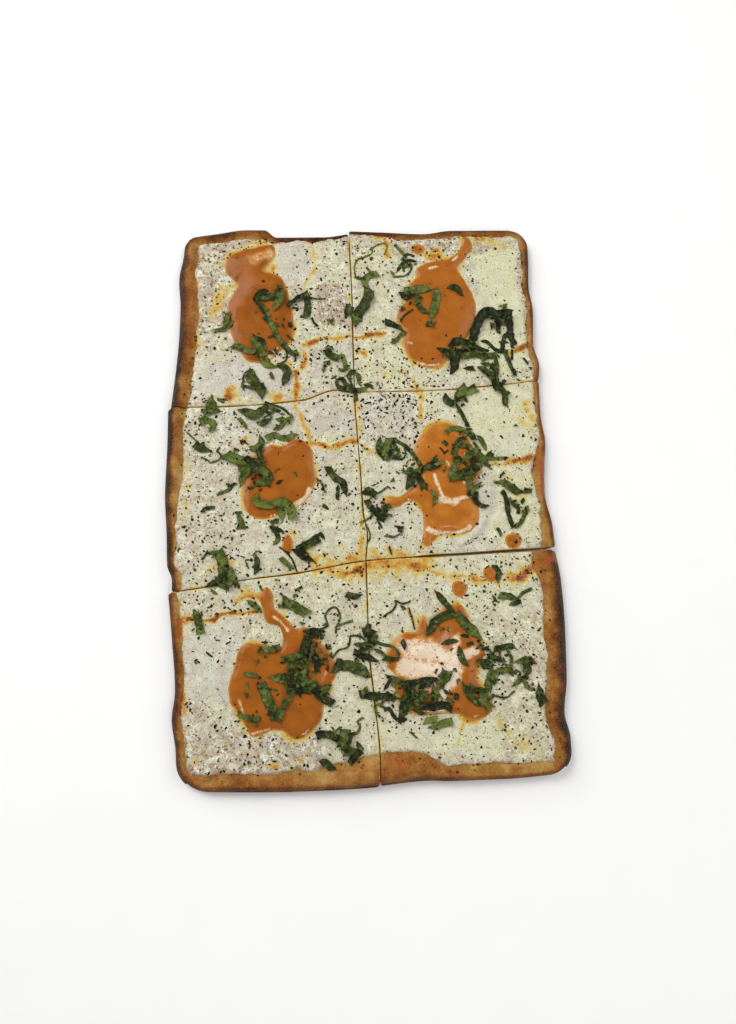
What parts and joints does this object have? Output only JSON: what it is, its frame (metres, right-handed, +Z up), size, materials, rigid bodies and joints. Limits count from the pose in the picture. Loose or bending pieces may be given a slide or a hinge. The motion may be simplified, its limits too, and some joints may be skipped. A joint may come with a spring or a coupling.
{
  "type": "grandpa pizza",
  "caption": "Thin rectangular sheet pizza cut into squares, with a browned bare rim, melted white cheese, rounded dollops of tomato cream sauce and shredded basil",
  "frame": {"origin": "middle of the footprint's bounding box, on the flat bottom of the crust", "axes": "+Z up; +Y away from the side with the wide rim, along the long side; +X to the right"},
  "size_m": [0.3204, 0.475, 0.0196],
  "materials": {
    "crust": "baked bread crust, caramel to dark brown, dull",
    "cheese": "melted white cheese, cream with tan and grey mottling, dried herb flakes, slightly oily",
    "sauce": "tomato cream sauce, orange-brown, wet and glossy",
    "basil": "baked basil shreds, dark olive green, slightly shiny"
  },
  "bodies": {
    "root": {"basil_back_cut": "basil", "basil_back_left_fold": "basil", "basil_back_left_front": "basil", "basil_back_left_leaf": "basil", "basil_back_left_strip": "basil", "basil_back_right_dab": "basil", "basil_back_right_fork": "basil", "basil_back_right_heap": "basil", "basil_back_right_leaf": "basil", "basil_back_right_tangle": "basil", "basil_front_cut_left": "basil", "basil_front_green_leaf": "basil", "basil_front_left_leaf": "basil", "basil_front_left_leaves": "basil", "basil_front_left_plank": "basil", "basil_front_right_arch": "basil", "basil_front_right_chips": "basil", "basil_front_right_heap": "basil", "basil_front_right_leaves": "basil", "basil_front_spider": "basil", "basil_middle_cross": "basil", "basil_middle_left_angle": "basil", "basil_middle_left_bend": "basil", "basil_middle_left_clump": "basil", "basil_middle_left_curl": "basil", "basil_middle_left_fork": "basil", "basil_middle_left_sunk": "basil", "basil_middle_right_fork": "basil", "basil_middle_right_leaf": "basil", "basil_middle_right_plank": "basil", "basil_pile_back_left": "basil", "basil_pile_back_right": "basil", "basil_pile_front_left": "basil", "basil_pile_front_right": "basil", "basil_pile_middle": "basil", "basil_pile_middle_left": "basil", "basil_pile_middle_right": "basil", "cheese_back_left": "cheese", "cheese_back_right": "cheese", "cheese_front_left": "cheese", "cheese_front_right": "cheese", "cheese_middle_left": "cheese", "cheese_middle_right": "cheese", "crust_back_left": "crust", "crust_back_right": "crust", "crust_front_left": "crust", "crust_front_right": "crust", "crust_middle_left": "crust", "crust_middle_right": "crust", "sauce_back_left": "sauce", "sauce_back_right": "sauce", "sauce_drop_back_right": "sauce", "sauce_drop_front": "sauce", "sauce_drop_front_right": "sauce", "sauce_drop_middle_left": "sauce", "sauce_drop_middle_right": "sauce", "sauce_front_left": "sauce", "sauce_front_right": "sauce", "sauce_middle_left": "sauce", "sauce_middle_right": "sauce"}
  },
  "joints": []
}
